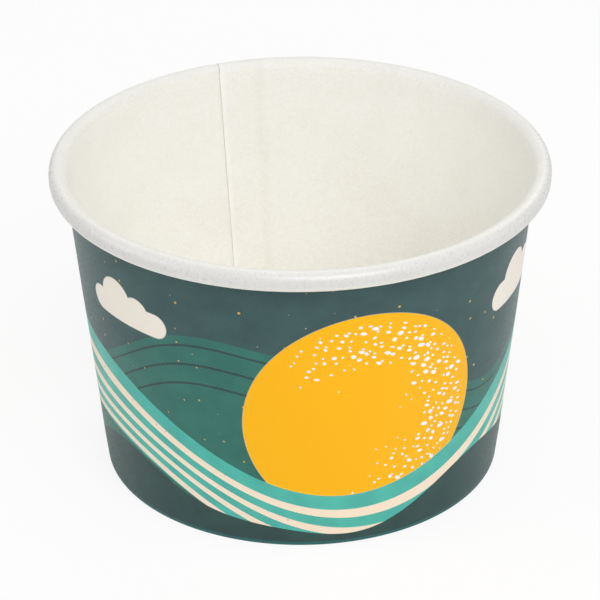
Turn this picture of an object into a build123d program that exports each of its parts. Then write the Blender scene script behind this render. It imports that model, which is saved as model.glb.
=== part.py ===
from build123d import *
import math
import os

# A round dessert cup of coated board, in millimetres, standing on Z = 0 with its axis on Z.
# Two blanks make it. The side wall is one fan-shaped sheet: wrapped round, glued to itself in a
# lapped side seam, rolled outwards at the mouth and folded inwards and up at the foot.
# The base is one disc with its edge turned down into a skirt, which that fold holds.

# Overall sizes
rim_diameter = 95.0
cup_height = 62.4
foot_diameter = 76.6

# Side wall: board, rolled rim and foot fold
wall_board = 0.40
roll_width = 3.5
roll_side_flat = 0.60
roll_clearance = 0.12
fold_inner_radius = 0.10
fold_leg_height = 5.2
tuck_angle = 60.0

# Side seam. The inner end of the lap shows inside the cup and the outer end on the outside.
# The sheet comes up to the inner end from one side, steps out by a board and runs on behind it.
seam_angle = 110.8
lap_width = 7.0
step_width = 2.4

# Base disc
base_board = 0.35
base_height = 7.0
base_edge_radius = 0.80
skirt_end_clearance = 0.20
seal_film = 0.03

# Bends are drawn as short flats, this many to a quarter turn, so that such fine rings stay light
# to mesh. The print side faces into the roll, where it needs fewer.
food_roll_flat_count = 3
print_roll_flat_count = 2
food_fold_flat_count = 1
print_fold_flat_count = 2
tuck_flat_count = 1
edge_flat_count = 2

# The upper half of the roll is struck from one centre, which carries the tucked end as well.
rim_radius = rim_diameter / 2
roll_radius = roll_width / 2
roll_centre = Vector(rim_radius - roll_radius, cup_height - roll_radius)

# The wall runs straight from the foot to the roll, tangent to both.
foot_bend = Vector(foot_diameter / 2, fold_inner_radius + wall_board)
foot_to_roll = roll_centre - foot_bend
wall_tilt = math.degrees(
    math.atan2(foot_to_roll.X, foot_to_roll.Y)
    - math.asin((roll_radius - wall_board) / foot_to_roll.length)
)
wall_up = Vector(math.sin(math.radians(wall_tilt)), math.cos(math.radians(wall_tilt)))
wall_out = Vector(wall_up.Y, -wall_up.X)
food_line = wall_out.dot(roll_centre) - roll_radius
pocket_width = base_board + 2 * seal_film


def beside_wall(distance: float, height: float) -> Vector:
    """Point in the section at a height, as far out from the wall's food side as distance says."""
    return Vector((food_line + distance + wall_up.X * height) / wall_up.Y, height)


def bend(centre: Vector, radius: float, start: float, turn: float, flat_count: int) -> list:
    """Points along a bend from a start angle, one more of them than it has flats."""
    spoke = Vector(radius, 0)
    turns = [turn * n / flat_count for n in range(flat_count + 1)]
    return [centre + spoke.rotate(Axis.Z, start + turned) for turned in turns]


def side_of_sheet(depth: float, lap: float, roll_count: int, fold_count: int) -> list:
    """Points along one side of the sheet, from its tucked end in the roll to its end at the foot.

    depth is how far this side lies behind the food side of the inner layer, and lap is the
    thickness that the seam adds there, which the roll and the fold have to make room for.
    """
    tail_distance = wall_board + roll_clearance + lap
    lower_height = roll_centre.Y - roll_side_flat
    lower_radius = (
        wall_out.dot(Vector(rim_radius, lower_height)) - food_line - tail_distance
    ) / (1 + wall_out.X)
    lower_centre = Vector(rim_radius - lower_radius, lower_height)
    tail_radius = roll_radius - tail_distance
    fold_height = fold_inner_radius + wall_board + lap
    fold_radius = fold_inner_radius + depth
    outer_fold = beside_wall(-fold_inner_radius, fold_height)
    inner_fold = beside_wall(fold_inner_radius - pocket_width, fold_height)
    leg = wall_up * ((fold_leg_height - fold_height) / wall_up.Y)
    over_turn = 90 - wall_tilt
    under_turn = 90 + wall_tilt
    tuck_start = 90 + over_turn - tuck_angle
    points = [
        *bend(roll_centre, tail_radius - depth, tuck_start, tuck_angle, tuck_flat_count),
        *bend(lower_centre, lower_radius - depth, 90 + over_turn, under_turn, roll_count),
        *bend(lower_centre, lower_radius - depth, -90, 90, roll_count)[1:],
        *bend(roll_centre, roll_radius - depth, 0, 90, roll_count),
        *bend(roll_centre, roll_radius - depth, 90, over_turn, roll_count)[1:],
        *bend(outer_fold, fold_radius, -wall_tilt, -over_turn, fold_count),
        *bend(inner_fold, fold_radius, -90, -under_turn, fold_count),
    ]
    return points + [points[-1] + leg]


def sheet_section(front: float, back: float, lap: float, angle: float) -> Face:
    """Section of the side wall between two depths, turned to an angle round the cup."""
    food_side = side_of_sheet(front, lap, food_roll_flat_count, food_fold_flat_count)
    print_side = side_of_sheet(back, lap, print_roll_flat_count, print_fold_flat_count)
    outline = Polyline(*food_side, *reversed(print_side), close=True)
    return Rot(Z=angle) * (Plane.XZ * make_face(outline).face())


def step(start: float, sweep: float, outwards: bool) -> Part:
    """The sheet running down from its height at the seam to none, from an angle round the cup.

    The layer behind the lap starts a board further out, which outwards asks for.
    """
    front = wall_board if outwards else 0
    raised = sheet_section(front, front + wall_board, wall_board, start)
    level = sheet_section(0, wall_board, 0, start + sweep)
    return loft([raised, level], ruled=True)


# The side wall: once round as a plain sheet, then the lap, then a step at each end of it.
mean_radius = beside_wall(0, cup_height / 2).X
lap_sweep = math.degrees(lap_width / mean_radius)
step_sweep = math.degrees(step_width / mean_radius)
plain_sweep = 360 - lap_sweep - 2 * step_sweep
plain_section = sheet_section(0, wall_board, 0, seam_angle + step_sweep)
lap_section = sheet_section(0, 2 * wall_board, wall_board, seam_angle - lap_sweep)

sidewall = revolve(plain_section, Axis.Z, plain_sweep)
sidewall += revolve(lap_section, Axis.Z, lap_sweep)
sidewall += step(seam_angle, step_sweep, True)
sidewall += step(seam_angle - lap_sweep, -step_sweep, False)

# The base disc, hung by its skirt between the wall and the inner leg of the fold.
skirt_end = 2 * wall_board + skirt_end_clearance
edge_centre = beside_wall(-seal_film - base_edge_radius, base_height - base_edge_radius)
skirt = wall_up * ((skirt_end - edge_centre.Y) / wall_up.Y)
skirt_turn = -90 - wall_tilt
under_radius = base_edge_radius - base_board
top_bend = bend(edge_centre, base_edge_radius, 90, skirt_turn, edge_flat_count)
under_bend = bend(edge_centre, under_radius, 90, skirt_turn, edge_flat_count)
base_outline = Polyline(
    Vector(0, base_height - base_board),
    Vector(0, base_height),
    *top_bend,
    top_bend[-1] + skirt,
    under_bend[-1] + skirt,
    *reversed(under_bend),
    close=True,
)
base_disc = revolve(Plane.XZ * make_face(base_outline).face(), Axis.Z)

os.makedirs("parts", exist_ok=True)
for name, piece in {"sidewall": sidewall, "base_disc": base_disc}.items():
    export_step(piece, f"parts/{name}.step")
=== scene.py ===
"""Looks of a round paper dessert cup, in metres, +Z up, standing on Z = 0 with its axis on Z.

The side wall is one printed sheet of coated board. It is wrapped round, lapped at its seam,
rolled outwards at the mouth and folded inwards and up at the foot, round the skirt of a sunk base.
"""

import logging
import math
from dataclasses import dataclass
from enum import IntEnum
from functools import partialmethod
from typing import Any, Callable

import bpy
from bpy.types import Material, Node, NodeSocket, Object, World
from mathutils import Euler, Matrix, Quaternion, Vector


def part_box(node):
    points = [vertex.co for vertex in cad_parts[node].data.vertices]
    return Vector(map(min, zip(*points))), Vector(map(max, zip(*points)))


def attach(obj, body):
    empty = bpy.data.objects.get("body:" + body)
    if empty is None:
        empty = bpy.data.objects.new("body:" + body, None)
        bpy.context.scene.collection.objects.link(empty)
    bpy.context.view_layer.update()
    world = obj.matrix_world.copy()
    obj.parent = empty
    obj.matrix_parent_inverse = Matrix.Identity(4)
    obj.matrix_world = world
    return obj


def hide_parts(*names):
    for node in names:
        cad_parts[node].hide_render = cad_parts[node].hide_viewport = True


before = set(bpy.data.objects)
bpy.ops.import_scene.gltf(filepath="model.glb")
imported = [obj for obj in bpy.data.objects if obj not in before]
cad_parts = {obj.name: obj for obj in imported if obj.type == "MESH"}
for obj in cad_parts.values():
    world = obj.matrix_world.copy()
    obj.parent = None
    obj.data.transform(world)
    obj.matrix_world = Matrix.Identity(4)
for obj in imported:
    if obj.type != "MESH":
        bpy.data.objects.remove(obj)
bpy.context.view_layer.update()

log = logging.getLogger("dessert_cup")

mm = 0.001
SHEET_MAP = "sheet"
RISE = "rise"
SEED_SIZE = 0.01 * mm
MERGE_DISTANCE = 0.001 * mm
SMOOTH_ANGLE = math.radians(35)
NOISE_SPAN = (0.3, 0.7)
SHARP = 0.01

Colour = tuple[int, int, int]
Shade = tuple[float, float, float, float]
Span = tuple[float, float]
Paint = Colour | NodeSocket
Weight = Callable[[float, float], float]

WHITE: Shade = (1.0, 1.0, 1.0, 1.0)


def linear(colour: Colour) -> Shade:
    """Turns a colour, as it looks on a screen, into the linear shade that a shader takes."""
    parts = [part / 255 for part in colour]
    return (*(p / 12.92 if p <= 0.04045 else ((p + 0.055) / 1.055) ** 2.4 for p in parts), 1.0)


def ease(share: float) -> float:
    """Eases a share in and out between 0 and 1, and holds it there outside."""
    held = min(max(share, 0.0), 1.0)
    return held * held * (3 - 2 * held)


def select_only(piece: Object) -> None:
    """Selects one object alone and makes it the active one.

    Args:
        piece: The object.
    """
    bpy.ops.object.select_all(action="DESELECT")
    piece.select_set(True)
    bpy.context.view_layer.objects.active = piece


class Side(IntEnum):
    """Faces of a board, each the number of its material on the piece."""

    FOOD = 0
    PRINT = 1
    CUT = 2


Finishes = dict[Side, Material]


class SectionPen:
    """Draws an open section in the XZ plane, vertex after vertex."""

    def __init__(self, name: str, start: Vector) -> None:
        """Puts the first vertex down.

        Args:
            name: Name of the object that the section becomes.
            start: Where the section starts.
        """
        bpy.ops.object.select_all(action="DESELECT")
        bpy.ops.mesh.primitive_plane_add(size=SEED_SIZE, location=start)
        self.piece = bpy.context.object
        self.piece.name = name
        bpy.ops.object.transform_apply(location=True, rotation=False, scale=False)
        bpy.ops.object.mode_set(mode="EDIT")
        bpy.ops.mesh.select_all(action="SELECT")
        bpy.ops.mesh.merge(type="CENTER")
        self.tip = start

    def line_to(self, end: Vector, steps: int = 1) -> None:
        """Extrudes a straight line from the tip.

        Args:
            end: Where the line ends.
            steps: How many edges it has.
        """
        stride = (end - self.tip) / steps
        for _ in range(steps):
            bpy.ops.mesh.extrude_vertices_move(TRANSFORM_OT_translate={"value": stride})
        self.tip = end

    def arc(self, centre: Vector, turn: float, steps: int) -> None:
        """Spins an arc from the tip.

        Args:
            centre: Centre of the arc.
            turn: Degrees that it turns through, from +X towards +Z.
            steps: How many edges it has.
        """
        angle = math.radians(turn)
        bpy.ops.mesh.spin(steps=steps, angle=angle, center=centre, axis=(0, 1, 0))
        spoke = self.tip - centre
        spoke.rotate(Euler((0, -angle, 0)))
        self.tip = centre + spoke

    def lift(self) -> Object:
        """Ends the drawing and returns the section's object."""
        bpy.ops.object.mode_set(mode="OBJECT")
        return self.piece


def wrap(section: Object, start: float, turn: float, steps: int) -> None:
    """Turns a section round Z into a surface, whose vertices then lie section by section.

    Args:
        section: The section, drawn in the XZ plane.
        start: Degrees from +X at which the surface starts, counter-clockwise from above.
        turn: Degrees that it runs through from there, clockwise from above.
        steps: How many faces go round.
    """
    select_only(section)
    section.rotation_euler.z = math.radians(start)
    bpy.ops.object.transform_apply(location=False, rotation=True, scale=False)
    screw = section.modifiers.new("wrap", "SCREW")
    screw.angle = -math.radians(turn)
    screw.steps = steps
    screw.render_steps = steps
    bpy.ops.object.modifier_apply(modifier=screw.name)


def face_outwards(piece: Object) -> None:
    """Merges a surface's doubles and turns its faces outwards.

    Args:
        piece: The surface.
    """
    select_only(piece)
    bpy.ops.object.mode_set(mode="EDIT")
    bpy.ops.mesh.select_all(action="SELECT")
    bpy.ops.mesh.remove_doubles(threshold=MERGE_DISTANCE)
    bpy.ops.mesh.normals_make_consistent(inside=False)
    bpy.ops.object.mode_set(mode="OBJECT")


def thicken(piece: Object, board: float, finishes: Finishes, group: str = "") -> None:
    """Gives a sheet its finishes, and its board's thickness behind the side its faces look to.

    Args:
        piece: The sheet, with its food side modelled.
        board: Thickness of the board.
        finishes: The material of each side.
        group: Vertex group that says how much of the thickness each place keeps.
    """
    for side in Side:
        piece.data.materials.append(finishes[side])
    select_only(piece)
    solidify = piece.modifiers.new("board", "SOLIDIFY")
    solidify.thickness = board
    solidify.offset = -1
    solidify.use_even_offset = True
    solidify.vertex_group = group
    solidify.material_offset = Side.PRINT
    solidify.material_offset_rim = Side.CUT
    bpy.ops.object.modifier_apply(modifier=solidify.name)
    bpy.ops.object.shade_smooth_by_angle(angle=SMOOTH_ANGLE)


@dataclass
class SideWall:
    """The side wall's sheet: tucked end, rolled rim, wall, foot fold and inner leg.

    The sheet starts inside the cup at the seam, runs once round clockwise from above, steps out
    by a board and ends behind its own start. Lengths are in metres and angles in degrees.
    """

    board: float = 0.40 * mm
    foot_diameter: float = 76.6 * mm
    roll_width: float = 3.5 * mm
    roll_side_flat: float = 0.60 * mm
    roll_clearance: float = 0.12 * mm
    fold_inner_radius: float = 0.10 * mm
    fold_leg_height: float = 5.2 * mm
    pocket_width: float = 0.41 * mm
    tuck_angle: float = 60.0
    seam_angle: float = 110.8
    seam_lean: float = 1.7
    seam_set_back: float = 1.15
    glue_line: float = 0.02 * mm
    box_clearance: float = 0.01 * mm

    column_angle: float = 0.75
    lap_columns: int = 13
    step_columns: int = 4
    girth_columns: int = 480
    tuck_steps: int = 3
    under_roll_steps: int = 14
    over_roll_steps: int = 16
    wall_steps: int = 24
    fold_steps: int = 4
    leg_steps: int = 6

    rolled_lap_share: float = 0.2
    rolled_lean_loss: float = 0.15
    lean_end: float = 2.5 * mm
    lap_press: float = 0.15 * mm
    lap_press_sweep: float = 1.6
    lap_press_end: float = 3 * mm
    rib_count: int = 160
    rib_depth: float = 0.16 * mm
    rib_start: float = 1.2 * mm
    sway: float = 0.22 * mm
    sway_size: float = 34 * mm
    sway_end: float = 6 * mm
    crimp: float = 0.045 * mm
    crimp_size: float = 2.6 * mm
    crimp_start: float = 0.8 * mm

    def __post_init__(self) -> None:
        """Takes the rim's size from the frame, and works the wall's line out from it."""
        low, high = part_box("sidewall")
        self.rim_radius = (high.x - low.x) / 2 - self.box_clearance
        self.cup_height = high.z - self.box_clearance
        self.roll_radius = self.roll_width / 2
        self.roll_centre = Vector(
            (self.rim_radius - self.roll_radius, 0, self.cup_height - self.roll_radius)
        )
        foot = Vector((self.foot_diameter / 2, 0, self.fold_inner_radius + self.board))
        run = self.roll_centre - foot
        lean = math.atan2(run.x, run.z) - math.asin((self.roll_radius - self.board) / run.length)
        self.tilt = math.degrees(lean)
        self.up = Vector((math.sin(lean), 0, math.cos(lean)))
        self.out = Vector((math.cos(lean), 0, -math.sin(lean)))
        self.food_line = self.out.dot(self.roll_centre) - self.roll_radius
        self.wall_rise = self.roll_centre.z / self.up.z
        self.mean_radius = self.beside(0, self.cup_height / 2).x
        self.lap_sweep = self.lap_columns * self.column_angle
        self.step_sweep = self.step_columns * self.column_angle
        self.columns = self.girth_columns + self.lap_columns

    def beside(self, distance: float, height: float) -> Vector:
        """Point of the section at a height, and a distance out from the wall's food side."""
        across = (self.food_line + distance + self.up.x * height) / self.up.z
        return Vector((across, 0, height))

    def _on_circle(self, centre: Vector, radius: float, angle: float) -> Vector:
        """Point of a circle in the XZ plane, at an angle in degrees from +X towards +Z."""
        turned = math.radians(angle)
        return centre + radius * Vector((math.cos(turned), 0, math.sin(turned)))

    def _sheet(self, name: str, lap: float = 0.0, depth: float = 0.0, ahead: float = 0.0) -> Object:
        """Draws one state of the sheet and wraps it the whole way round, lap and all.

        Its section runs along the food side, from the tucked end in the roll to the leg's end.

        Args:
            name: Name of the object.
            lap: Thickness that the seam adds, for which the roll and the fold make room.
            depth: How far the sheet lies behind the cup's food side.
            ahead: Degrees that it is turned on, counter-clockwise from above.

        Returns:
            The sheet's object, one food side without thickness.
        """
        tail_distance = self.board + self.roll_clearance + lap
        tail_radius = self.roll_radius - tail_distance - depth
        low = Vector((self.rim_radius, 0, self.roll_centre.z - self.roll_side_flat))
        low_radius = (self.out.dot(low) - self.food_line - tail_distance) / (1 + self.out.x)
        low_centre = low - Vector((low_radius, 0, 0))
        fold_height = self.fold_inner_radius + self.board + lap
        fold_radius = self.fold_inner_radius + depth
        outer_fold = self.beside(-self.fold_inner_radius, fold_height)
        inner_fold = self.beside(self.fold_inner_radius - self.pocket_width, fold_height)
        over = 90 - self.tilt
        under = 90 + self.tilt

        tuck_start = 90 + over - self.tuck_angle
        pen = SectionPen(name, self._on_circle(self.roll_centre, tail_radius, tuck_start))
        pen.arc(self.roll_centre, self.tuck_angle, self.tuck_steps)
        pen.line_to(self._on_circle(low_centre, low_radius - depth, 90 + over))
        pen.arc(low_centre, 90 + under, self.under_roll_steps)
        pen.line_to(self._on_circle(self.roll_centre, self.roll_radius - depth, 0))
        pen.arc(self.roll_centre, 90 + over, self.over_roll_steps)
        pen.line_to(self._on_circle(outer_fold, fold_radius, -self.tilt), self.wall_steps)
        pen.arc(outer_fold, -over, self.fold_steps)
        pen.line_to(self._on_circle(inner_fold, fold_radius, -90))
        pen.arc(inner_fold, -under, self.fold_steps)
        leg_rise = (self.fold_leg_height - fold_height) / self.up.z
        pen.line_to(pen.tip + self.up * leg_rise, self.leg_steps)
        section = pen.lift()
        self._mark_rise(section, fold_height)
        start = self.seam_angle - self.seam_set_back + ahead
        wrap(section, start, self.columns * self.column_angle, self.columns)
        return section

    def _mark_rise(self, section: Object, fold_height: float) -> None:
        """Writes on each vertex of a section how far up the sheet from the foot it lies.

        Args:
            section: The section, drawn from vertex 0 at the tucked end.
            fold_height: Height at which the wall turns into the fold.
        """
        mesh = section.data
        points = [vertex.co.copy() for vertex in mesh.vertices]
        edges = [set(edge.vertices) for edge in mesh.edges]
        chain, run = [0], [0.0]
        while edges:
            edge = next(pair for pair in edges if chain[-1] in pair)
            edges.remove(edge)
            (ahead,) = edge - {chain[-1]}
            run.append(run[-1] + (points[ahead] - points[chain[-1]]).length)
            chain.append(ahead)
        foot = next(length for index, length in zip(chain, run) if points[index].z < fold_height)
        rise = mesh.attributes.new(RISE, "FLOAT", "POINT")
        for index, length in zip(chain, run):
            rise.data[index].value = foot - length

    def _weigh(self, sheet: Object, name: str, weight: Weight) -> None:
        """Adds a vertex group whose weight follows the place on the sheet.

        Args:
            sheet: The wrapped sheet.
            name: Name of the group.
            weight: Gives the weight from the turn, in degrees, and the rise, in metres.
        """
        group = sheet.vertex_groups.new(name=name)
        rise = sheet.data.attributes[RISE].data
        for index, turn in enumerate(self._turns(sheet)):
            amount = weight(turn, rise[index].value)
            if amount > 0:
                group.add([index], amount, "REPLACE")

    def _turns(self, sheet: Object) -> list[float]:
        """Degrees from the sheet's start of each of its vertices, which lie column by column."""
        rows = len(sheet.data.vertices) // (self.columns + 1)
        return [n // rows * self.column_angle for n in range(rows * (self.columns + 1))]

    def _lap_seam(self, sheet: Object) -> None:
        """Sets the sheet's end behind its start, leans both, and makes room for them.

        Args:
            sheet: The plain sheet, which is changed.
        """
        lap = self.board + self.glue_line
        states = {
            self._sheet("inner_layer", lap): self._inner_share,
            self._sheet("outer_layer", lap, lap): self._outer_share,
            self._sheet("leaned", ahead=self.seam_lean): self._lean_share,
        }
        for state, share in states.items():
            self._weigh(sheet, state.name, share)
        select_only(sheet)
        for state in states:
            state.select_set(True)
        bpy.ops.object.join_shapes()
        for key in sheet.data.shape_keys.key_blocks[1:]:
            key.vertex_group = key.name
            key.value = 1
        sheet.active_shape_key_index = 1
        bpy.ops.object.shape_key_remove(all=True, apply_mix=True)
        for state in states:
            bpy.data.meshes.remove(state.data)

    def _unrolled(self, rise: float) -> float:
        """1 below the roll, falling within it to the share of its board that a rolled lap keeps."""
        rolled = ease((rise - self.wall_rise + self.roll_radius) / self.roll_width)
        return 1 - rolled * (1 - self.rolled_lap_share)

    def _inner_share(self, turn: float, rise: float) -> float:
        """How fully the sheet is its lap's inner layer, at a turn from its start and a rise."""
        return (1 - ease((turn - self.lap_sweep) / self.step_sweep)) * self._unrolled(rise)

    def _outer_share(self, turn: float, rise: float) -> float:
        """How fully the sheet is its lap's outer layer, at a turn from its start and a rise."""
        return ease((turn - 360 + self.step_sweep) / self.step_sweep) * self._unrolled(rise)

    def _lean_share(self, turn: float, rise: float) -> float:
        """How far the sheet is turned on by its lean, more with the rise and less where rolled."""
        rolled = ease((rise - self.wall_rise) / self.lean_end)
        return min(max(rise / self.wall_rise, 0), 1) - self.rolled_lean_loss * rolled

    def _board_share(self, turn: float, rise: float) -> float:
        """How much of its board's thickness the sheet keeps, less where the lap is rolled."""
        lapped = max(self._inner_share(turn, 0), self._outer_share(turn, 0))
        return 1 - lapped * (1 - self._unrolled(rise))

    def _wall_share(self, rise: float, end: float) -> float:
        """1 along the straight wall, easing to 0 over an end at the roll and one at the foot."""
        return ease(rise / end) * ease((self.wall_rise - rise) / end)

    def _press_share(self, turn: float, rise: float) -> float:
        """How fully the lap is pressed in, which ends a little beyond its hidden edge."""
        inner = 1 - ease((turn - self.lap_sweep) / self.lap_press_sweep)
        return max(inner, self._outer_share(turn, 0)) * self._wall_share(rise, self.lap_press_end)

    def _rib_share(self, turn: float, rise: float) -> float:
        """How far a place on the foot's leg stands in a rib."""
        wave = 0.5 + 0.5 * math.cos(math.radians(turn * self.rib_count))
        return wave * ease((-rise - self.rib_start) / self.rib_start)

    def _sway_share(self, turn: float, rise: float) -> float:
        """How fully the wall sways, not at all at the foot and the roll."""
        return self._wall_share(rise, self.sway_end)

    def _crimp_share(self, turn: float, rise: float) -> float:
        """How fully the sheet is crimped, which it is on the rim's roll."""
        return ease((rise - self.wall_rise) / self.crimp_start)

    def _push(
        self, sheet: Object, name: str, weight: Weight, move: float, noise_size: float = 0.0
    ) -> None:
        """Moves part of the sheet to its food side, or behind it if negative.

        Args:
            sheet: The sheet.
            name: Name of the vertex group that weighs the move.
            weight: Gives the weight from the turn and the rise.
            move: The move in metres, at full weight.
            noise_size: Size of the noise that shares the move out, if any.
        """
        self._weigh(sheet, name, weight)
        select_only(sheet)
        displace = sheet.modifiers.new(name, "DISPLACE")
        displace.vertex_group = name
        displace.strength = move
        displace.mid_level = 0
        if noise_size:
            displace.texture = bpy.data.textures.new(name, "CLOUDS")
            displace.texture.noise_scale = noise_size
            displace.texture_coords = "LOCAL"
        bpy.ops.object.modifier_apply(modifier=displace.name)

    def _press(self, sheet: Object) -> None:
        """Gives the wrapped sheet the marks of its making.

        The lap is pressed in over its hidden edge, the wall sways, the roll is finely crimped and
        the foot's leg is ribbed by its knurling wheel.

        Args:
            sheet: The sheet, which is changed.
        """
        self._push(sheet, "lap_press", self._press_share, self.lap_press)
        self._push(sheet, "ribs", self._rib_share, -self.rib_depth)
        self._push(sheet, "sway", self._sway_share, -self.sway, self.sway_size)
        self._push(sheet, "crimp", self._crimp_share, -self.crimp, self.crimp_size)

    def girth(self, turn: float) -> float:
        """Place along the flat sheet, from the cup's front, at a turn from the sheet's start."""
        return math.radians(self.seam_angle + 90 - turn) * self.mean_radius

    def widening(self) -> tuple[float, float]:
        """Share by which the wall widens with a millimetre up the sheet, and where it is even."""
        return self.up.x * mm / self.mean_radius, self.cup_height / 2 / self.up.z / mm

    def _lay_map(self, sheet: Object) -> None:
        """Maps the flat sheet at true size: girth from the cup's front, and rise from its foot.

        Args:
            sheet: The wrapped sheet.
        """
        mesh = sheet.data
        layer = mesh.uv_layers.new(name=SHEET_MAP)
        turns = self._turns(sheet)
        rise = [item.value for item in mesh.attributes[RISE].data]
        for loop in mesh.loops:
            index = loop.vertex_index
            layer.uv[loop.index].vector = (self.girth(turns[index]), rise[index])

    def build(self, finishes: Finishes) -> Object:
        """Models the sheet and dresses it.

        Args:
            finishes: The material of each side.

        Returns:
            The finished piece.
        """
        sheet = self._sheet("side_wall_board")
        self._lay_map(sheet)
        self._lap_seam(sheet)
        face_outwards(sheet)
        self._press(sheet)
        self._weigh(sheet, "board", self._board_share)
        thicken(sheet, self.board, finishes, "board")
        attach(sheet, "root")
        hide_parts("sidewall")
        return sheet


@dataclass
class Base:
    """The base: one disc of board, its edge turned down into a skirt. Lengths are in metres."""

    wall: SideWall
    board: float = 0.35 * mm
    edge_radius: float = 0.80 * mm
    seal_film: float = 0.03 * mm
    skirt_end_clearance: float = 0.20 * mm
    dish: float = 0.28 * mm
    dish_steps: int = 24
    edge_steps: int = 6
    skirt_steps: int = 5
    columns: int = 360

    def build(self, finishes: Finishes) -> Object:
        """Models the disc, from its middle to its skirt's end, and dresses it.

        Args:
            finishes: The material of each side.

        Returns:
            The finished piece.
        """
        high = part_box("base_disc")[1].z
        skirt_end = 2 * self.wall.board + self.skirt_end_clearance
        edge_height = high - self.edge_radius
        centre = self.wall.beside(-self.seal_film - self.edge_radius, edge_height)
        pen = SectionPen("base_board", Vector((0, 0, high - self.dish)))
        for step in range(1, self.dish_steps + 1):
            share = step / self.dish_steps
            height = high - self.dish * (1 - ease(share))
            pen.line_to(Vector((centre.x * share, 0, height)))
        pen.arc(centre, -90 - self.wall.tilt, self.edge_steps)
        drop = (skirt_end - pen.tip.z) / self.wall.up.z
        pen.line_to(pen.tip + self.wall.up * drop, self.skirt_steps)
        disc = pen.lift()
        wrap(disc, 0, 360, self.columns)
        face_outwards(disc)
        thicken(disc, self.board, finishes)
        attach(disc, "root")
        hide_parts("base_disc")
        return disc


class Field:
    """A number that varies over a surface: a node's output that takes part in sums."""

    # Numbers of the Mix node's sockets for colours.
    MIX_UNDER = 6
    MIX_OVER = 7
    MIX_RESULT = 2

    def __init__(self, recipe: "Recipe", socket: NodeSocket) -> None:
        """Holds a socket and the recipe that it belongs to."""
        self.recipe = recipe
        self.socket = socket

    def math(self, operation: str, *others: "Field | float") -> "Field":
        """Puts this number, and others as further inputs, through a Math node."""
        inputs = dict(enumerate((self, *others)))
        return self.recipe.field("Math", inputs, operation=operation)

    __add__ = partialmethod(math, "ADD")
    __sub__ = partialmethod(math, "SUBTRACT")
    __mul__ = partialmethod(math, "MULTIPLY")
    __truediv__ = partialmethod(math, "DIVIDE")
    sine = partialmethod(math, "SINE")

    def __invert__(self) -> "Field":
        """One less this number, which turns a mask round."""
        return (self * -1) + 1

    def hypot(self, other: "Field") -> "Field":
        """Length of a line that goes this far one way and another number the other way."""
        return (self * self + other * other).math("SQRT")

    def spread(self, low: float, high: float, to_low: float = 0, to_high: float = 1) -> "Field":
        """Maps the range from low to high smoothly onto another, and holds its ends."""
        inputs = {0: self, 1: low, 2: high, 3: to_low, 4: to_high}
        return self.recipe.field("MapRange", inputs, interpolation_type="SMOOTHSTEP")

    def below(self, limit: "Field | float", edge: float) -> "Field":
        """Mask of where this number is below a limit, which fades over an edge on either side."""
        return (self - limit).spread(-edge, edge, 1, 0)

    def blend(self, under: Paint, over: Paint, mode: str = "MIX") -> NodeSocket:
        """Blends two colours, this number being the share of the upper one.

        Args:
            under: The lower colour.
            over: The upper colour.
            mode: How they are blended.

        Returns:
            The result.
        """
        low, high = (linear(paint) if isinstance(paint, tuple) else paint for paint in (under, over))
        inputs = {0: self, self.MIX_UNDER: low, self.MIX_OVER: high}
        node = self.recipe.node("Mix", inputs, data_type="RGBA", blend_type=mode)
        return node.outputs[self.MIX_RESULT]


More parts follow.
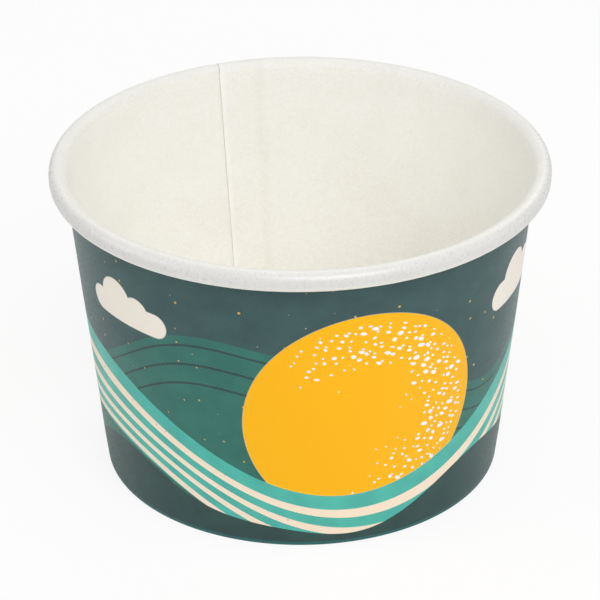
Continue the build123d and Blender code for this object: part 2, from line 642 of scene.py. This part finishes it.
class Recipe:
    """Node tree of a material or a world, with short ways to add its nodes and to join them."""

    def __init__(self, owner: Material | World) -> None:
        """Empties the tree.

        Args:
            owner: The material or world whose tree it is.
        """
        owner.use_nodes = True
        self.owner = owner
        self.tree = owner.node_tree
        self.tree.nodes.clear()

    def node(self, kind: str, inputs: dict[Any, Any] | None = None, **settings: Any) -> Node:
        """Adds a node.

        Args:
            kind: The node's type, without its usual start.
            inputs: What its inputs get, by name or number: a value, a field or a socket.
            settings: Its other settings.

        Returns:
            The node.
        """
        node = self.tree.nodes.new(f"ShaderNode{kind}")
        for name, value in settings.items():
            setattr(node, name, value)
        for key, value in (inputs or {}).items():
            source = value.socket if isinstance(value, Field) else value
            if isinstance(source, NodeSocket):
                self.tree.links.new(source, node.inputs[key])
            else:
                node.inputs[key].default_value = source
        return node

    def field(
        self, kind: str, inputs: dict[Any, Any] | None = None, output: Any = 0, **settings: Any
    ) -> Field:
        """Adds a node, as node() does, and returns one of its outputs as a field."""
        return Field(self, self.node(kind, inputs, **settings).outputs[output])

    def place(self) -> NodeSocket:
        """The object's own coordinates, in metres."""
        return self.node("TexCoord").outputs["Object"]

    def flat(self) -> NodeSocket:
        """Place on the flat sheet in millimetres, as a vector, from the piece's map."""
        laid = self.node("UVMap", uv_map=SHEET_MAP).outputs[0]
        return self.node("VectorMath", {0: laid, "Scale": 1 / mm}, operation="SCALE").outputs[0]

    def parts(self, vector: NodeSocket) -> tuple[Field, Field]:
        """The first two numbers of a vector."""
        split = self.node("SeparateXYZ", {0: vector})
        return Field(self, split.outputs[0]), Field(self, split.outputs[1])

    def vector(self, x: Field, y: Field) -> NodeSocket:
        """A flat vector of two numbers."""
        return self.node("CombineXYZ", {0: x, 1: y}).outputs[0]

    def noise(self, at: NodeSocket, size: float, detail: float = 2.0) -> Field:
        """Soft noise between 0 and 1, of a size in the coordinates' unit, with finer layers."""
        return self.field("TexNoise", {"Vector": at, "Scale": 1 / size, "Detail": detail})

    def cells(self, at: NodeSocket, pitch: float, **inputs: float) -> tuple[Field, Field, Field]:
        """Parts a plane into cells, each about a point of its own.

        Args:
            at: Coordinates in the plane.
            pitch: Distance between the points.
            inputs: The Voronoi node's other inputs.

        Returns:
            Distance from the nearest point, in pitches, and two random numbers of its cell.
        """
        named = {"Vector": at, "Scale": 1 / pitch, **inputs}
        node = self.node("TexVoronoi", named, voronoi_dimensions="2D")
        return Field(self, node.outputs["Distance"]), *self.parts(node.outputs["Color"])

    def bump(self, height: Field, depth: float, under: NodeSocket | None = None) -> NodeSocket:
        """Relief of a height from 0 to 1, at a depth in metres, laid on the relief under it."""
        inputs = {"Height": height, "Distance": depth} | ({"Normal": under} if under else {})
        return self.node("Bump", inputs).outputs[0]

    def finish(self, **inputs: Any) -> Material:
        """Ends the recipe with a shader.

        Args:
            inputs: The shader's inputs, their names with _ for spaces.

        Returns:
            The material.
        """
        named = {name.replace("_", " "): value for name, value in inputs.items()}
        shader = self.node("BsdfPrincipled", named)
        self.node("OutputMaterial", {"Surface": shader.outputs[0]})
        return self.owner


@dataclass(frozen=True)
class CoatedBoard:
    """Plain board with a thin satin coat on it: the food side.

    On the side wall it is greyer on the rolled rim, partly its own tone and partly painted shade,
    with more painted shade on the roll's outer flank; these tints fade out on its underside, which
    is left lighter as a painted light from below. It is glossy from the crest outwards and dull
    within. Along the seam it has a painted highlight, painted shade over the lap's hidden end and a
    painted shadow line on the roll. Its marks there lie in millimetres past the seam's edge, or past
    the wall's top.
    """

    name: str
    colour: Colour = (252, 251, 246)
    shade: Colour = (250, 249, 243)
    cloud_size: float = 9 * mm
    cloud_span: Span = (0.35, 0.65)
    fibre_size: float = 0.7 * mm
    fibre_depth: float = 0.012 * mm
    dent_size: float = 4.5 * mm
    dent_depth: float = 0.05 * mm
    roughness: Span = (0.36, 0.50)
    gloss: float = 0.8
    grain_size: float = 0.5 * mm
    grain_span: Span = (0.25, 0.75)
    grain_share: float = 0.55
    grain_tint: Colour = (243, 241, 235)
    pulp_pitch: float = 3.6 * mm
    pulp_size: float = 0.16 * mm
    pulp_share: float = 0.6
    pulp: Colour = (196, 188, 170)

    sheet: SideWall | None = None
    # Painted highlight: a lighter band along the seam's edge.
    seam_highlight_start: Span = (-1.12, -0.48)
    seam_highlight_share: float = 0.6
    seam_highlight_tint: Colour = (255, 255, 252)
    # Painted shade: a darker band over the lap's hidden end.
    hidden_edge_shade_width: float = 1.6
    hidden_edge_shade_tint: Colour = (251, 251, 250)
    # Painted shadow: a fine dark line along the seam's edge on the roll.
    seam_shadow_start: Span = (-0.22, -0.11)
    seam_shadow_tint: Colour = (196, 193, 182)
    rolled_start: Span = (-0.6, 0.6)
    # The roll is greyer: partly the coat's own tone, partly painted shade.
    rolled_grey_and_shade_tint: Colour = (245, 245, 246)
    rolled_roughness: float = 1.7
    crest_start: Span = (2.1, 2.9)
    crest_roughness: float = 0.72
    crest_relief: float = 0.12
    flank_start: Span = (2.4, 4.0)
    # Painted shade on the roll's outer flank.
    flank_shade_tint: Colour = (232, 232, 235)
    # The rim's tints fade out here, so the roll's underside is left lighter: painted light from
    # below.
    underside_light_fade: Span = (5.5, 6.8)
    crinkle_size: float = 0.55
    crinkle_stretch: float = 0.6
    crinkle_depth: float = 0.006 * mm

    def _lap(self, sheet: SideWall, x: Field, rolled: Field, colour: Paint) -> NodeSocket:
        """Marks the lap: a painted highlight along the seam's edge, painted shade over its hidden
        end.

        Where it is rolled, a painted shadow shows as a fine dark line along the seam's edge.

        Args:
            sheet: The side wall's sheet.
            x: Place along the sheet in millimetres.
            rolled: Mask of the rolled rim.
            colour: The board's colour.

        Returns:
            The colour with the marks.
        """
        hidden = sheet.girth(sheet.lap_sweep + sheet.lap_press_sweep / 2) / mm
        # Painted shade over the lap's hidden end.
        pressed = (x - hidden).math("ABSOLUTE").spread(0, self.hidden_edge_shade_width, 1, 0)
        painted_shade = pressed.blend(colour, self.hidden_edge_shade_tint, "MULTIPLY")
        past = x - sheet.girth(0) / mm
        # Painted highlight: the board is lightened along the seam's edge.
        painted_highlight = past.spread(*self.seam_highlight_start) * self.seam_highlight_share
        # Painted shadow: a fine dark line along the seam's edge, where it is rolled.
        line = past.spread(*self.seam_shadow_start) * rolled
        return line.blend(painted_highlight.blend(painted_shade, self.seam_highlight_tint), self.seam_shadow_tint)

    def make(self) -> Material:
        """Makes the material.

        Returns:
            The material.
        """
        recipe = Recipe(bpy.data.materials.new(self.name))
        place = recipe.place()
        cloud = recipe.noise(place, self.cloud_size, 4).spread(*self.cloud_span)
        fibre = recipe.noise(place, self.fibre_size, 5)
        grain = recipe.noise(place, self.grain_size, 4).spread(*self.grain_span)
        coat = cloud.blend(self.shade, self.colour)
        colour = (grain * self.grain_share).blend(coat, self.grain_tint, "MULTIPLY")
        cell = recipe.field("TexVoronoi", {"Vector": place, "Scale": 1 / self.pulp_pitch})
        speck = (cell * self.pulp_pitch).spread(0, self.pulp_size, self.pulp_share, 0)
        colour = speck.blend(colour, self.pulp)
        rough = fibre.spread(*NOISE_SPAN, *self.roughness)
        relief = recipe.bump(recipe.noise(place, self.dent_size, 3), self.dent_depth)
        if self.sheet:
            x, y = recipe.parts(recipe.flat())
            past = y - self.sheet.wall_rise / mm
            # The rim's tints fade out on the roll's underside, leaving it lighter: painted light from
            # below.
            seen = past.spread(*self.underside_light_fade, 1, 0)
            starts = (self.rolled_start, self.crest_start, self.flank_start)
            rolled, crest, flank = (past.spread(*start) * seen for start in starts)
            colour = self._lap(self.sheet, x, rolled, colour)
            # Greyer over the whole roll: partly the coat's own tone, partly painted shade.
            colour = rolled.blend(colour, self.rolled_grey_and_shade_tint, "MULTIPLY")
            # Painted shade on the roll's outer flank.
            colour = flank.blend(colour, self.flank_shade_tint, "MULTIPLY")
            stretched = recipe.vector(x * self.crinkle_stretch, y)
            crinkle = recipe.noise(stretched, self.crinkle_size, 3)
            relief = recipe.bump(crinkle * flank, self.crinkle_depth, relief)
            rough = rough * rolled.spread(0, 1, 1, self.rolled_roughness)
            rough = rough * crest.spread(0, 1, 1, self.crest_roughness / self.rolled_roughness)
            fibre = fibre * crest.spread(0, 1, 1, self.crest_relief)
        return recipe.finish(
            Base_Color=colour,
            Roughness=rough,
            Specular_IOR_Level=self.gloss,
            Normal=recipe.bump(fibre, self.fibre_depth, relief),
        )


@dataclass(frozen=True)
class CutBoard:
    """Raw board where it was cut, without a coat."""

    colour: Colour = (249, 247, 238)
    core: Colour = (238, 234, 220)
    ply_size: float = 0.25 * mm
    ply_span: Span = (0.4, 0.7)
    ply_depth: float = 0.05 * mm
    roughness: float = 0.9

    def make(self) -> Material:
        """Makes the material.

        Returns:
            The material.
        """
        recipe = Recipe(bpy.data.materials.new("cut_board"))
        ply = recipe.noise(recipe.place(), self.ply_size, 3)
        return recipe.finish(
            Base_Color=ply.spread(*self.ply_span).blend(self.colour, self.core),
            Roughness=self.roughness,
            Normal=recipe.bump(ply, self.ply_depth),
        )


@dataclass(frozen=True)
class Sun:
    """A disc of the print. Lengths are in millimetres on the flat sheet, x from the front."""

    x: float
    y: float
    radius: float


@dataclass(frozen=True)
class Cloud:
    """A flat-bottomed cloud of the print, placed by the middle of its bottom, in millimetres.

    Its arms, its roundness and its puffs (across, up and radius) are shares of its size.
    """

    x: float
    y: float
    size: float
    arm: float = 1.6
    roundness: float = 0.55
    puffs: tuple[tuple[float, float, float], ...] = ((-0.55, 1.05, 0.85), (0.65, 0.85, 0.62))

    def out(self, x: Field, y: Field) -> Field:
        """Distance out from the cloud's edge.

        Args:
            x: Place along the sheet.
            y: Place up the sheet.

        Returns:
            The distance, negative inside.
        """
        across = (x - self.x) / self.size
        up = (y - self.y) / self.size
        held = (across.math("ABSOLUTE") - self.arm).math("MAXIMUM", 0)
        cloud = held.hypot(up - self.roundness) - self.roundness
        for beside, above, radius in self.puffs:
            puff = (across - beside).hypot(up - above) - radius
            cloud = cloud.math("MINIMUM", puff)
        return cloud * self.size


@dataclass(frozen=True)
class Wave:
    """A wavy line of the print, in millimetres on the flat sheet, x from the front."""

    level: float
    swing: float
    length: float
    start: float
    ripple: float = 0.0
    ripple_pace: float = 2.3

    def over(self, x: Field) -> Field:
        """Height of the line.

        Args:
            x: Place along the sheet.

        Returns:
            Height up the sheet.
        """
        turn = 2 * math.pi / self.length
        line = ((x - self.start) * turn).sine() * self.swing + self.level
        if self.ripple:
            line = line + ((x - self.start) * (turn * self.ripple_pace)).sine() * self.ripple
        return line


@dataclass(frozen=True)
class Inks:
    """Inks of the print, and the bare board under them."""

    field: Colour = (70, 102, 100)
    vein: Colour = (59, 90, 86)
    hill: Colour = (62, 130, 116)
    teal: Colour = (92, 208, 190)
    cream: Colour = (250, 230, 207)
    sand: Colour = (243, 235, 223)
    yellow: Colour = (255, 186, 0)
    fleck: Colour = (243, 246, 252)
    gold: Colour = (206, 166, 92)
    foot: Colour = (61, 120, 118)
    board: Colour = (244, 240, 230)


@dataclass(frozen=True)
class PrintedBoard:
    """The print side: suns over rolling hills and a striped ribbon, under a satin varnish.

    Lengths are in millimetres on the flat sheet. The wall is as wide as the flat sheet only at
    the even height, and widens by a share with each millimetre up. The suns allow for that.
    """

    widening: float
    even_height: float
    inks: Inks = Inks()
    edge: float = 0.06
    register: float = 0.13
    screen_pitch: float = 0.66
    screens: tuple[tuple[float, float, Colour], ...] = (
        (0, 0.80, (188, 188, 188)),
        (30, 0.55, (166, 214, 228)),
        (-28, 0.45, (238, 204, 214)),
    )
    suns: tuple[Sun, ...] = (Sun(-78, 34, 15), Sun(12, 28.5, 22.5), Sun(107, 31, 19))
    clouds: tuple[Cloud, ...] = (
        Cloud(-35, 42, 4.6),
        Cloud(51, 41, 5.2),
        Cloud(-113, 44, 4.8),
        Cloud(73, 50, 3.6),
    )
    far_hill: Wave = Wave(37, 8, 103, -36, 1.5)
    near_hill: Wave = Wave(7, 5, 88, 26, 1.0)
    ribbon: Wave = Wave(22, 11, 128.8, 42)
    ribbon_width: Wave = Wave(17, 3.5, 128.8, 20)
    stripe_count: int = 4
    contour_pitch: float = 4.2
    contour_width: float = 0.5
    contour_reach: float = 13.0
    stripe_share: float = 0.56
    stripe_edge: float = 0.015
    ribbon_edge: float = 0.005
    fan: float = 1.35
    swell: float = 0.05
    sun_gap: float = 0.25
    gold_specks: Span = (4.0, 0.26)
    dark_specks: Span = (3.1, 0.14)
    speck_chance: float = 0.45
    fleck_pitch: float = 1.3
    fleck_scatter: float = 0.82
    fleck_stretch: float = 0.72
    fleck_slant: Span = (0.9, 0.42)
    fleck_drift: Span = (2.2, 1.4)
    drift_size: float = 4.0
    fleck_growth: Span = (0.15, 0.20)
    fleck_edge: float = 0.035
    fleck_start: Span = (0.30, 0.72)
    fleck_end: Span = (0.90, 0.94)
    fleck_side: Span = (-0.75, 0.35)
    foot_band: float = 0.5
    bare_edge: float = -1.1
    fibre_size: float = 0.7
    fibre_depth: float = 0.010 * mm
    mottle_size: float = 6.0
    mottle: Span = (0.6, 1.0)
    screened_span: Span = (0.06, 0.3)
    roughness: Span = (0.29, 0.39)
    gloss: float = 0.26

    def _lay(self, under: Paint, ink: Colour, depth: Field, gap: float = 0.5) -> NodeSocket:
        """Lays one ink over the print.

        Args:
            under: The colour below.
            ink: The ink.
            depth: Distance out from the ink's edge, negative where the ink is.
            gap: How plainly bare board shows in a hairline along the edge.

        Returns:
            The colour with the ink on it.
        """
        bare = depth.below(self.register, self.edge) * gap
        opened = bare.blend(under, self.inks.board)
        return depth.below(0, self.edge).blend(opened, ink)

    def _near_sun(self, x: Field, y: Field) -> tuple[Field, Field, Field]:
        """Place about the nearest sun.

        Args:
            x: Place along the sheet.
            y: Place up the sheet.

        Returns:
            Place across and up from that sun's centre, and its radius.
        """
        first, *rest = self.suns
        across = x - first.x
        up = y - first.y
        radius = x * 0 + first.radius
        behind = first
        for sun in rest:
            past = x.math("GREATER_THAN", (sun.x + behind.x) / 2)
            across = across - past * (sun.x - behind.x)
            up = up - past * (sun.y - behind.y)
            radius = radius + past * (sun.radius - behind.radius)
            behind = sun
        widened = (y - self.even_height) * self.widening + 1
        return across * widened, up, radius

    def _flecks(self, recipe: Recipe, flat: NodeSocket, about: tuple[Field, Field, Field]) -> Field:
        """Mask of the flecks on a sun, strewn thickly along one side of its limb.

        Args:
            recipe: The material's recipe.
            flat: Place on the flat sheet.
            about: Place across and up from the sun's centre, and its radius.

        Returns:
            1 on a fleck.
        """
        across, up, radius = about
        x, y = recipe.parts(flat)
        drift = recipe.noise(flat, self.drift_size, 1)
        level, slope = self.fleck_slant
        along = x * level - y * slope + drift * self.fleck_drift[0]
        beside = y * level + x * slope + drift * self.fleck_drift[1]
        strewn = recipe.vector(along * self.fleck_stretch, beside)
        near, chance, size = recipe.cells(strewn, self.fleck_pitch, Randomness=self.fleck_scatter)
        share = across.hypot(up) / radius
        ring = share.spread(*self.fleck_start) * ~share.spread(*self.fleck_end)
        side = (across.math("ARCTAN2", up) + 0.5).sine().spread(*self.fleck_side)
        thick = ring * side
        least, growth = self.fleck_growth
        grain = (size * size * size * growth + least) * thick.spread(0, 0.6, 0.6, 1)
        return near.below(grain, self.fleck_edge) * chance.below(thick, SHARP)

    def _specks(self, recipe: Recipe, flat: NodeSocket, pitch: float, size: float) -> Field:
        """Mask of small specks strewn thinly over the sheet.

        Args:
            recipe: The material's recipe.
            flat: Place on the flat sheet.
            pitch: Distance between specks.
            size: Radius of the largest.

        Returns:
            1 on a speck.
        """
        near, chance, share = recipe.cells(flat, pitch)
        grain = share * size * 0.8 + size * 0.2
        return (near * pitch).below(grain, self.edge) * chance.below(self.speck_chance, SHARP)

    def _draw(self, recipe: Recipe, flat: NodeSocket) -> NodeSocket:
        """Draws the print.

        Args:
            recipe: The material's recipe.
            flat: Place on the flat sheet, in millimetres.

        Returns:
            The print's colour.
        """
        inks = self.inks
        x, y = recipe.parts(flat)
        crest = self.far_hill.over(x)
        colour = self._lay(inks.field, inks.hill, y - crest, 0)
        below = (crest - y) / self.contour_pitch
        line = (below.math("FRACT") - 0.5).math("ABSOLUTE") * self.contour_pitch
        reach = (crest - y).below(self.contour_reach, self.edge) * ~y.below(0, self.edge)
        contour = line.below(self.contour_width / 2, self.edge) * reach * y.below(crest, 0.05)
        colour = contour.blend(colour, inks.vein)
        colour = self._specks(recipe, flat, *self.gold_specks).blend(colour, inks.gold)
        for cloud in self.clouds:
            colour = self._lay(colour, inks.sand, cloud.out(x, y))
        across, up, radius = self._near_sun(x, y)
        limb = across.hypot(up) - radius
        colour = self._lay(colour, inks.yellow, limb, self.sun_gap)
        flecks = self._flecks(recipe, flat, (across, up, radius)) * limb.below(0, self.edge)
        colour = flecks.blend(colour, inks.fleck)

        crest = self.ribbon.over(x)
        drop = (crest - y) / self.ribbon_width.over(x)
        swell = (x * 0.09 + drop * 5).sine() * self.swell
        fanned = drop.math("MAXIMUM", 0).math("POWER", self.fan) + swell * drop
        stripe = (fanned * self.stripe_count).math("FRACT").below(self.stripe_share, self.stripe_edge)
        cream = self._specks(recipe, flat, *self.dark_specks).blend(inks.cream, inks.hill)
        inside = drop.below(1, self.ribbon_edge) * ~drop.below(0, self.ribbon_edge)
        colour = inside.blend(colour, stripe.blend(cream, inks.teal))
        colour = self._lay(colour, inks.vein, y - self.near_hill.over(x), 0)
        return self._lay(colour, inks.foot, y - self.foot_band, 0)

    def _screen(self, x: Field, y: Field, angle: float) -> Field:
        """Lattice of one ink's screen.

        Args:
            x: Place along the sheet.
            y: Place up the sheet.
            angle: Degrees by which the lattice is turned.

        Returns:
            1 at the ink's points, falling to 0 between them.
        """
        turn = 2 * math.pi / self.screen_pitch
        along = math.cos(math.radians(angle)) * turn
        aside = math.sin(math.radians(angle)) * turn
        row = (x * along + y * aside).sine()
        column = (y * along - x * aside).sine()
        return row * column * 0.5 + 0.5

    def make(self) -> Material:
        """Makes the material.

        Returns:
            The material.
        """
        recipe = Recipe(bpy.data.materials.new("printed_board"))
        flat = recipe.flat()
        x, y = recipe.parts(flat)
        fibre = recipe.noise(flat, self.fibre_size, 4)
        colour = self._draw(recipe, flat)
        mottle = recipe.noise(flat, self.mottle_size, 2).spread(*NOISE_SPAN, *self.mottle)
        full = ~recipe.parts(colour)[0].spread(*self.screened_span)
        for angle, share, tint in self.screens:
            points = self._screen(x, y, angle) * mottle * full * share
            colour = points.blend(colour, tint, "MULTIPLY")
        return recipe.finish(
            Base_Color=y.below(self.bare_edge, 0.15).blend(colour, self.inks.board),
            Roughness=fibre.spread(*NOISE_SPAN, *self.roughness),
            Specular_IOR_Level=self.gloss,
            Normal=recipe.bump(fibre, self.fibre_depth),
        )


@dataclass(frozen=True)
class Lamp:
    """A soft lamp that points at the cup. Lengths are in metres, and its power is in watts."""

    name: str
    place: tuple[float, float, float]
    power: float
    width: float = 0.9
    height: float = 0.9


@dataclass
class Studio:
    """Pale floor, soft light and the camera. Lengths are in metres and angles in degrees."""

    floor_radius: float = 4.0
    floor_tint: Colour = (248, 248, 248)
    seen_floor_tint: Colour = (254, 254, 254)
    seen_floor_glow: float = 0.85
    surround: float = 0.43
    target_height: float = 31.2 * mm
    distance: float = 601.2 * mm
    elevation: float = 28.70
    lens: float = 186.4
    roll: float = -0.42
    shift_x: float = -0.00187
    shift_y: float = 0.00327
    lamps: tuple[Lamp, ...] = (
        Lamp("key", (0.30, -0.85, 0.95), 8.7),
        Lamp("left", (-1.10, -0.20, 0.60), 3.1),
        Lamp("right", (1.10, -0.20, 0.60), 1.5),
        Lamp("back", (0.25, 1.05, 0.80), 2.3, 1.3, 0.35),
    )

    def _floor(self) -> None:
        """Lays the floor, on which the cup keeps its shadow."""
        bpy.ops.object.select_all(action="DESELECT")
        bpy.ops.mesh.primitive_circle_add(vertices=96, radius=self.floor_radius, fill_type="NGON")
        floor = bpy.context.object
        floor.name = "floor"
        recipe = Recipe(bpy.data.materials.new("pale_floor"))
        seen = recipe.field("LightPath", output="Is Camera Ray")
        tint = seen.blend(self.floor_tint, self.seen_floor_tint)
        pale = recipe.node("BsdfDiffuse", {"Color": tint})
        white = recipe.node("Emission", {"Color": WHITE, "Strength": 1.0})
        share = seen * self.seen_floor_glow
        mixed = recipe.node("MixShader", {0: share, 1: pale.outputs[0], 2: white.outputs[0]})
        recipe.node("OutputMaterial", {"Surface": mixed.outputs[0]})
        floor.data.materials.append(recipe.owner)

    def _world(self) -> None:
        """Makes a white surround, plain to the camera and in reflections, softer as a light."""
        world = bpy.data.worlds.new("surround")
        bpy.context.scene.world = world
        recipe = Recipe(world)
        rays = recipe.node("LightPath").outputs
        clear = Field(recipe, rays["Is Camera Ray"])
        for ray in ("Is Glossy Ray", "Is Transmission Ray"):
            clear = clear.math("MAXIMUM", Field(recipe, rays[ray]))
        soft, white = (
            recipe.node("Background", {"Color": WHITE, "Strength": strength}).outputs[0]
            for strength in (self.surround, 1.0)
        )
        mixed = recipe.node("MixShader", {0: clear, 1: soft, 2: white})
        recipe.node("OutputWorld", {"Surface": mixed.outputs[0]})

    def _hang(self, lamp: Lamp) -> None:
        """Hangs a lamp.

        Args:
            lamp: The lamp.
        """
        light = bpy.data.lights.new(lamp.name, "AREA")
        light.shape = "RECTANGLE"
        light.size = lamp.width
        light.size_y = lamp.height
        light.energy = lamp.power
        hung = bpy.data.objects.new(lamp.name, light)
        bpy.context.collection.objects.link(hung)
        hung.location = lamp.place
        aim = Vector((0, 0, self.target_height)) - hung.location
        hung.rotation_euler = aim.to_track_quat("-Z", "Y").to_euler()

    def _camera(self) -> None:
        """Sets the camera up as in the photograph."""
        data = bpy.data.cameras.new("camera")
        data.lens = self.lens
        data.shift_x = self.shift_x
        data.shift_y = self.shift_y
        data.clip_start = 0.01
        camera = bpy.data.objects.new("camera", data)
        bpy.context.collection.objects.link(camera)
        height = math.radians(self.elevation)
        back = Vector((0, -math.cos(height), math.sin(height)))
        camera.location = Vector((0, 0, self.target_height)) + back * self.distance
        level = (-back).to_track_quat("-Z", "Y")
        camera.rotation_mode = "QUATERNION"
        camera.rotation_quaternion = level @ Quaternion((0, 0, 1), math.radians(self.roll))
        bpy.context.scene.camera = camera

    def build(self) -> None:
        """Sets up floor, surround, lamps, camera and view."""
        self._floor()
        self._world()
        for lamp in self.lamps:
            self._hang(lamp)
        self._camera()
        bpy.context.scene.view_settings.view_transform = "Standard"


def main() -> None:
    """Builds the studio and the cup's two pieces, and reports each."""
    logging.basicConfig(level=logging.INFO, format="%(message)s")
    Studio().build()
    log.info("studio: floor, surround, lamps and camera")
    cut = CutBoard().make()
    wall = SideWall()
    coated = CoatedBoard("food_side_wall", sheet=wall).make()
    printed = PrintedBoard(*wall.widening()).make()
    sheet = wall.build({Side.FOOD: coated, Side.PRINT: printed, Side.CUT: cut})
    log.info("side wall: %d faces", len(sheet.data.polygons))
    plain = CoatedBoard("food_side_base").make()
    disc = Base(wall).build({Side.FOOD: plain, Side.PRINT: plain, Side.CUT: cut})
    log.info("base: %d faces", len(disc.data.polygons))


if __name__ == "__main__":
    main()
